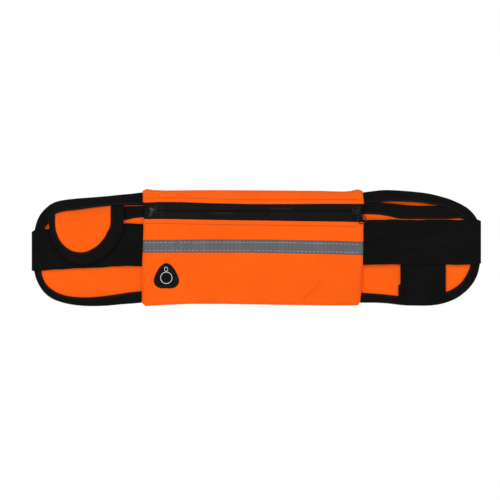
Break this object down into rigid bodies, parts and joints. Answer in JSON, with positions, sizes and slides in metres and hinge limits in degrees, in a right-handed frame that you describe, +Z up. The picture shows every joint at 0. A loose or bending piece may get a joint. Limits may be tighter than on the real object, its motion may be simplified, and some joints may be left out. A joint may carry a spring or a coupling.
{
  "type": "running waist pack",
  "caption": "Running waist pack: zipped centre pouch with an earphone port, two pocketed wings edged in tape, a flap, elastic bands and folded strap tails.",
  "frame": {"origin": "middle of the flat back face of the centre pouch, the face that lies on the wearer's waist", "axes": "+Z up as worn; -Y forwards, out of the pouch's front; +Y towards the wearer; +X to the right as seen from the front, along the pack's length"},
  "size_m": [0.4502, 0.0177, 0.1175],
  "materials": {
    "orange_neoprene": "knit-faced neoprene, bright orange",
    "binding_black": "folded knit tape, black",
    "elastic_black": "woven elastic webbing, black",
    "zip_tape_black": "polyurethane coated zip tape, semi-gloss black",
    "zip_coil_black": "nylon coil, black",
    "zip_metal_black": "black enamel on die-cast zinc",
    "steel_wire": "darkened steel wire",
    "reflective_grey": "retroreflective tape, silver grey",
    "port_rubber_black": "moulded rubber, satin black",
    "port_mark_grey": "pale grey transfer print",
    "loop_black": "loop pile, black",
    "hook_black": "moulded hook tape, black"
  },
  "bodies": {
    "pouch": {"pouch_back_panel": "orange_neoprene", "pouch_front_panel": "orange_neoprene", "pouch_top_panel": "orange_neoprene", "zip_tape_upper": "zip_tape_black", "zip_tape_lower": "zip_tape_black", "zip_coil_upper": "zip_coil_black", "zip_coil_lower": "zip_coil_black", "zip_end_stops": "zip_metal_black", "reflective_tape": "reflective_grey", "earphone_port": "port_rubber_black", "earphone_port_backing": "port_rubber_black", "earphone_port_mark": "port_mark_grey"},
    "left_wing": {"left_wing_back_panel": "orange_neoprene", "left_wing_front_panel": "orange_neoprene", "left_wing_binding": "binding_black", "left_pocket_mouth_binding": "binding_black", "left_waist_band": "elastic_black", "coin_flap_loop_patch": "loop_black"},
    "right_wing": {"right_wing_back_panel": "orange_neoprene", "right_wing_front_panel": "orange_neoprene", "right_wing_binding": "binding_black", "right_pocket_mouth_binding": "binding_black", "bottle_base_strap": "elastic_black", "right_waist_band": "elastic_black"},
    "coin_flap": {"coin_flap_panel": "orange_neoprene", "coin_flap_binding": "binding_black", "coin_flap_hook_patch": "hook_black"},
    "left_strap": {"left_strap_tail": "elastic_black", "left_strap_loop_patch": "loop_black"},
    "right_strap": {"right_strap_tail": "elastic_black", "right_strap_hook_patch": "hook_black"},
    "zip_slider": {"zip_slider": "zip_metal_black"},
    "pull_link": {"zip_pull_link": "steel_wire"},
    "pull_ring": {"zip_pull_ring": "steel_wire"}
  },
  "joints": [
    {"name": "left_wing_wrap", "type": "hinge", "parent": "pouch", "child": "left_wing", "pos_m": [-0.1112, 0, 0], "axis": [0, 0, -1], "range_deg": [0, 80]},
    {"name": "right_wing_wrap", "type": "hinge", "parent": "pouch", "child": "right_wing", "pos_m": [0.1108, 0, 0], "axis": [0, 0, 1], "range_deg": [0, 80]},
    {"name": "left_strap_swing", "type": "hinge", "parent": "left_wing", "child": "left_strap", "pos_m": [-0.2172, -0.0029, 0], "axis": [0, 0, 1], "range_deg": [0, 180]},
    {"name": "right_strap_swing", "type": "hinge", "parent": "right_wing", "child": "right_strap", "pos_m": [0.224, -0.0034, 0], "axis": [0, 0, -1], "range_deg": [0, 180]},
    {"name": "coin_flap_lift", "type": "hinge", "parent": "left_wing", "child": "coin_flap", "pos_m": [-0.166, -0.0084, 0.03885], "axis": [-0.9935, 0, -0.1141], "range_deg": [0, 150]},
    {"name": "zip_slide", "type": "slide", "parent": "pouch", "child": "zip_slider", "axis": [-1, 0, 0], "range_m": [0, 0.195]},
    {"name": "pull_link_lift", "type": "hinge", "parent": "zip_slider", "child": "pull_link", "pos_m": [0.106, -0.0127, 0.0365], "axis": [-1, 0, 0], "range_deg": [0, 110]},
    {"name": "pull_ring_lift", "type": "hinge", "parent": "pull_link", "child": "pull_ring", "pos_m": [0.10761, -0.0127, 0.03155], "axis": [-0.9511, 0, -0.309], "range_deg": [0, 60]}
  ]
}
